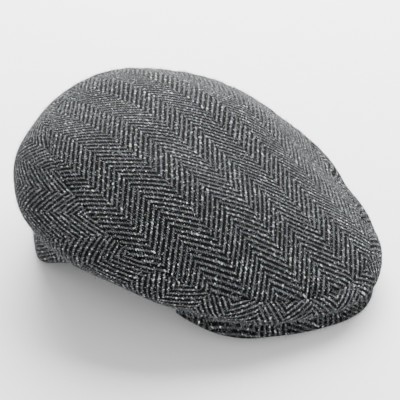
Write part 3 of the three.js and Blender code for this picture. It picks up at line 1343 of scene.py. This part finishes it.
@dataclass(frozen=True)
class Band:
    """The ring of doubled cloth under the crown that sits on the head."""

    crown: Crown
    wall: float = 0.003
    flare: float = 0.002
    bow: float = 0.0022
    flare_turn: float = 0.41
    flare_width: float = 0.12
    turn_in: float = 0.008
    columns: int = 360
    rings: int = 26
    edge_rings: int = 8
    lay: ClothLay = ClothLay(across=(0.595, -0.52, 0.0, 0.0, 0.0), along=(0.32, 0.703, 0.0, 0.0, 0.0))
    finish: Tweed = Tweed(
        "band_tweed", shift=(-0.0131, 0.0), pale=(0.105, 0.112, 0.118), relief=0.0002, sheen=0.01
    )
    slack: Rumple = Rumple(seed=31, wave=0.05, height=0.0004)
    calm_below: float = 0.004
    slack_above: float = 0.015
    fuzz: LooseFibres = LooseFibres("band_fuzz", count=900, seed=63)

    def build(self, wardrobe: Wardrobe) -> bpy.types.Object:
        """Makes the band and dresses it.

        Args:
            wardrobe: What dresses the pieces.

        Returns:
            The dressed band.
        """
        turns = full_turn(self.columns)
        half = self.wall / 2
        rise = np.linspace(0, 1, self.rings)
        outer = [self.standing(turns, share, 0.0) for share in rise]
        inner = [self.standing(turns, share, -self.wall) for share in rise[::-1]]
        fold = []
        for angle in np.linspace(math.pi, 2 * math.pi, self.edge_rings + 2)[1:-1]:
            ring = self.flared(turns, -half + half * math.cos(angle))
            ring[:, 2] += half + half * math.sin(angle)
            fold.append(ring)
        rings = np.stack([*outer, *self.turned(turns), *inner, *fold], axis=1)
        spread = self.slack.at(rings) * smooth_step(self.calm_below, self.slack_above, rings[..., 2])
        rings[..., :2] *= 1 + (spread / np.linalg.norm(rings[..., :2], axis=-1))[..., None]
        up = lengths_along(rings)
        line = self.crown.sewn_points(turns, 0.0)
        places = perimeter_places(line)[:, None] + 0 * up
        wrapped = self.lay.place(places + closed_steps(line).sum(), up)
        piece = ShellMesh(rings, self.lay.place(places, up), wrap=wrapped).build("band_cloth")
        wardrobe.dress(piece, self.finish)
        settle(piece, "band", ColumnRun.ROUND_THE_HEAD)
        shown = rings[:, : self.rings]
        self.fuzz.build(shown, grid_normals(shown, closed=True), "band_wool", wardrobe)
        return piece

    def standing(self, turns: Grid, share: float, outward: float) -> Grid:
        """Draws one ring of the band, bowed out a little at the rear corners.

        Args:
            turns: The turn from the front of each point.
            share: How far up the ring lies, from the fold to the sewn line.
            outward: How far outside the band's outer face it lies.

        Returns:
            The ring's points.
        """
        bowed = outward + self.bow * 4 * share * (1 - share) * self.by_corner(turns)
        low = self.flared(turns, bowed)
        low[:, 2] += self.wall / 2
        return low + (self.crown.sewn_points(turns, bowed) - low) * share

    def flared(self, turns: Grid, outward: float | Grid) -> Grid:
        """The lower edge, which stands out a little at the rear corners."""
        return self.crown.rim_points(turns, outward + self.flare * self.by_corner(turns))

    def by_corner(self, turns: Grid) -> Grid:
        """How near each turn is to one of the two rear corners, from 0 to 1."""
        return hump(np.minimum(turns, 1 - turns), self.flare_turn, self.flare_width)

    def turned(self, turns: Grid) -> list[Grid]:
        """Draws the two rings at the top of the band, inside the crown.

        Args:
            turns: The turn from the front of each point.

        Returns:
            The outer ring and the inner ring.
        """
        rings = [self.crown.sewn_points(turns, outward) for outward in (0.0, -self.wall)]
        for ring in rings:
            ring[:, 2] += self.turn_in
        return rings


@dataclass(frozen=True)
class Peak:
    """The stiff curved peak, covered in the same wool, under the crown's front roll."""

    crown: Crown
    depth: float = 0.0405
    wall: float = 0.004
    edge_wall: float = 0.0026
    camber: float = 0.0015
    drop: float = 0.003
    corner: float = 67 / 360
    columns: int = 180
    rings: int = 34
    edge_rings: int = 9
    lay: ClothLay = ClothLay(across=(0.922, -0.252, 0.0, 0.0, 0.0), along=(-0.379, -0.834, 0.0, 0.0, 0.0))
    finish: Tweed = Tweed("peak_tweed", shift=(0.0135, 0.0))
    slack: Rumple = Rumple(seed=41, wave=0.03, height=0.0003)
    calm_reach: float = 0.01
    fuzz: LooseFibres = LooseFibres("peak_fuzz", count=5000, seed=64)

    def build(self, wardrobe: Wardrobe) -> bpy.types.Object:
        """Makes the peak and dresses it.

        Args:
            wardrobe: What dresses the pieces.

        Returns:
            The dressed peak.
        """
        across = np.linspace(-1, 1, self.columns)
        turns = across * self.corner
        ways = np.stack([np.sin(2 * math.pi * turns), -np.cos(2 * math.pi * turns), 0 * turns], axis=-1)
        start = self.crown.sewn_points(turns, self.crown.sewn_gap)
        reach = self.read(PEAK_REACH, across) * self.depth
        edge_up = self.read(PEAK_EDGE_UP, across) * self.crown.band_lift
        share = np.linspace(0, 1, self.rings)
        half = self.edge_wall / 2
        bow = 4 * self.camber * share * (1 - share)
        flat = np.clip(reach - half, half, None)[:, None] * share
        top = (start[:, 2] - self.drop)[:, None]
        edge = edge_up[:, None]
        upper = top + (edge + self.edge_wall - top) * share + bow
        lower = top - self.wall + (edge - top + self.wall) * share + bow
        angles = np.linspace(math.pi / 2, -math.pi / 2, self.edge_rings + 2)[1:-1]
        round_out = flat[:, -1:] + half * np.cos(angles)
        round_up = edge + half + half * np.sin(angles)
        outward = np.concatenate([flat, round_out, flat[:, ::-1]], axis=1)
        height = np.concatenate([upper, round_up, lower[:, ::-1]], axis=1)
        rings = start[:, None] + ways[:, None] * outward[..., None]
        rings[..., 2] = height
        rings[..., 2] += self.slack.at(rings) * smooth_step(0, self.calm_reach, reach[:, None])
        rings[..., 2] = np.maximum(rings[..., 2], 0)
        along = lengths_along(rings)
        drawn = along * (flat[:, -1:] / along[:, self.rings - 1 : self.rings])
        flattened = start[:, None, :2] + ways[:, None, :2] * drawn[..., None]
        piece = self.closed(rings, self.lay.place(flattened[..., 0], flattened[..., 1]))
        wardrobe.dress(piece, self.finish)
        settle(piece, "peak", ColumnRun.LENGTHWISE)
        shown = rings[:, : self.rings + self.edge_rings]
        self.fuzz.build(shown, grid_normals(shown, closed=False), "peak_wool", wardrobe, closed=False)
        return piece

    @staticmethod
    def read(values: tuple[float, ...], across: Grid) -> Grid:
        """Reads a column of the peak's table from corner to corner.

        Args:
            values: The column, from the peak's middle to its corner.
            across: Where to read, from -1 at one corner to 1 at the other.

        Returns:
            One value for each place.
        """
        side = np.array(values)
        points = np.concatenate([side[:0:-1], side])[None, :, None]
        knots = np.linspace(-1, 1, points.shape[1])[None]
        return open_splines(knots, points, across[None])[0, :, 0]

    @staticmethod
    def closed(rings: Grid, cloth: Grid) -> bpy.types.Object:
        """Joins the sections into one closed body with an end face at each corner.

        Args:
            rings: The sections' points, columns by points by three.
            cloth: The place on the cloth of each point.

        Returns:
            The peak's object.
        """
        columns, count = rings.shape[:2]
        point = np.arange(columns * count).reshape(columns, count)
        after = np.roll(point, -1, axis=1)
        quads = np.stack([point[:-1], after[:-1], after[1:], point[1:]], axis=-1)
        faces = quads.reshape(-1, 4).tolist() + [point[0][::-1].tolist(), point[-1].tolist()]
        flat = cloth.reshape(-1, 2)
        corners = np.concatenate([flat[face] for face in faces])
        return mesh_piece("peak_cloth", rings.reshape(-1, 3), faces, corners)


@dataclass(frozen=True)
class Softbox:
    """A square soft light that looks at the cap."""

    name: str
    place: tuple[float, float, float]
    size: float
    power: float
    target: tuple[float, float, float] = (0.0, 0.0, 0.05)

    def hang(self) -> None:
        """Hangs the light."""
        light = bpy.data.lights.new(self.name, "AREA")
        light.size = self.size
        light.energy = self.power
        lamp = bpy.data.objects.new(self.name, light)
        lamp.location = self.place
        view = Vector(self.target) - Vector(self.place)
        lamp.rotation_euler = view.to_track_quat("-Z", "Y").to_euler()
        bpy.context.scene.collection.objects.link(lamp)


@dataclass(frozen=True)
class Studio:
    """The pale floor, the soft lights, and the camera at the angle of the photograph."""

    eye: tuple[float, float, float] = (-0.8852, -0.4134, 0.7986)
    azimuth: float = -64.86
    elevation: float = 37.47
    roll: float = -0.58
    lens: float = 160.9
    farthest: float = 20.0
    floor_size: float = 6.0
    floor_shade: float = 0.9
    sky: float = 0.9
    softboxes: tuple[Softbox, ...] = (
        Softbox("overhead_softbox", (0.92, 0.12, 1.1), 1.5, 92.0),
        Softbox("front_softbox", (-1.1, -1.15, 0.75), 1.6, 21.0),
        Softbox("rear_softbox", (1.0, 0.6, 0.5), 1.0, 35.0),
    )

    def build(self) -> None:
        """Makes the stage."""
        self.floor()
        self.daylight()
        for softbox in self.softboxes:
            softbox.hang()
        self.camera()

    def floor(self) -> None:
        """Lays a plain pale floor."""
        half = self.floor_size / 2
        corners = [(-half, -half, 0), (half, -half, 0), (half, half, 0), (-half, half, 0)]
        mesh = bpy.data.meshes.new("floor")
        mesh.from_pydata(corners, [], [(0, 1, 2, 3)])
        piece = bpy.data.objects.new("floor", mesh)
        bpy.context.scene.collection.objects.link(piece)
        material = bpy.data.materials.new("pale_floor")
        material.use_nodes = True
        shader = material.node_tree.nodes["Principled BSDF"]
        shader.inputs["Base Color"].default_value = (self.floor_shade,) * 3 + (1.0,)
        shader.inputs["Roughness"].default_value = 1.0
        shader.inputs["Specular IOR Level"].default_value = 0.0
        mesh.materials.append(material)

    def daylight(self) -> None:
        """Makes an even white sky."""
        world = bpy.data.worlds.new("studio_sky")
        world.use_nodes = True
        background = world.node_tree.nodes["Background"]
        background.inputs["Color"].default_value = (1.0, 1.0, 1.0, 1.0)
        background.inputs["Strength"].default_value = self.sky
        bpy.context.scene.world = world

    def camera(self) -> None:
        """Sets up the camera."""
        angles = (self.azimuth, self.elevation, self.roll)
        azimuth, elevation, roll = (math.radians(angle) for angle in angles)
        level = math.cos(elevation)
        back = Vector((math.sin(azimuth) * level, -math.cos(azimuth) * level, math.sin(elevation)))
        right = Vector((math.cos(azimuth), math.sin(azimuth), 0))
        up = back.cross(right)
        turned_right = right * math.cos(roll) + up * math.sin(roll)
        turned_up = up * math.cos(roll) - right * math.sin(roll)
        data = bpy.data.cameras.new("camera")
        data.lens = self.lens
        data.clip_end = self.farthest
        camera = bpy.data.objects.new("camera", data)
        pointed = Matrix((turned_right, turned_up, back)).transposed().to_4x4()
        camera.matrix_world = Matrix.Translation(self.eye) @ pointed
        bpy.context.scene.collection.objects.link(camera)
        bpy.context.scene.camera = camera


def main() -> None:
    """Builds the stage and the cap's pieces in order."""
    logging.basicConfig(level=logging.INFO, format="%(name)s: %(message)s")
    Studio().build()
    crown = Crown()
    wardrobe = Wardrobe()
    builders: tuple[Callable[[Wardrobe], bpy.types.Object], ...] = (
        TopPanel(crown).build,
        SidePanel(crown).build,
        Band(crown).build,
        Peak(crown).build,
    )
    for build in builders:
        piece = build(wardrobe)
        LOG.info("%s is dressed in %s", piece.name, piece.data.materials[0].name)


if __name__ == "__main__":
    main()
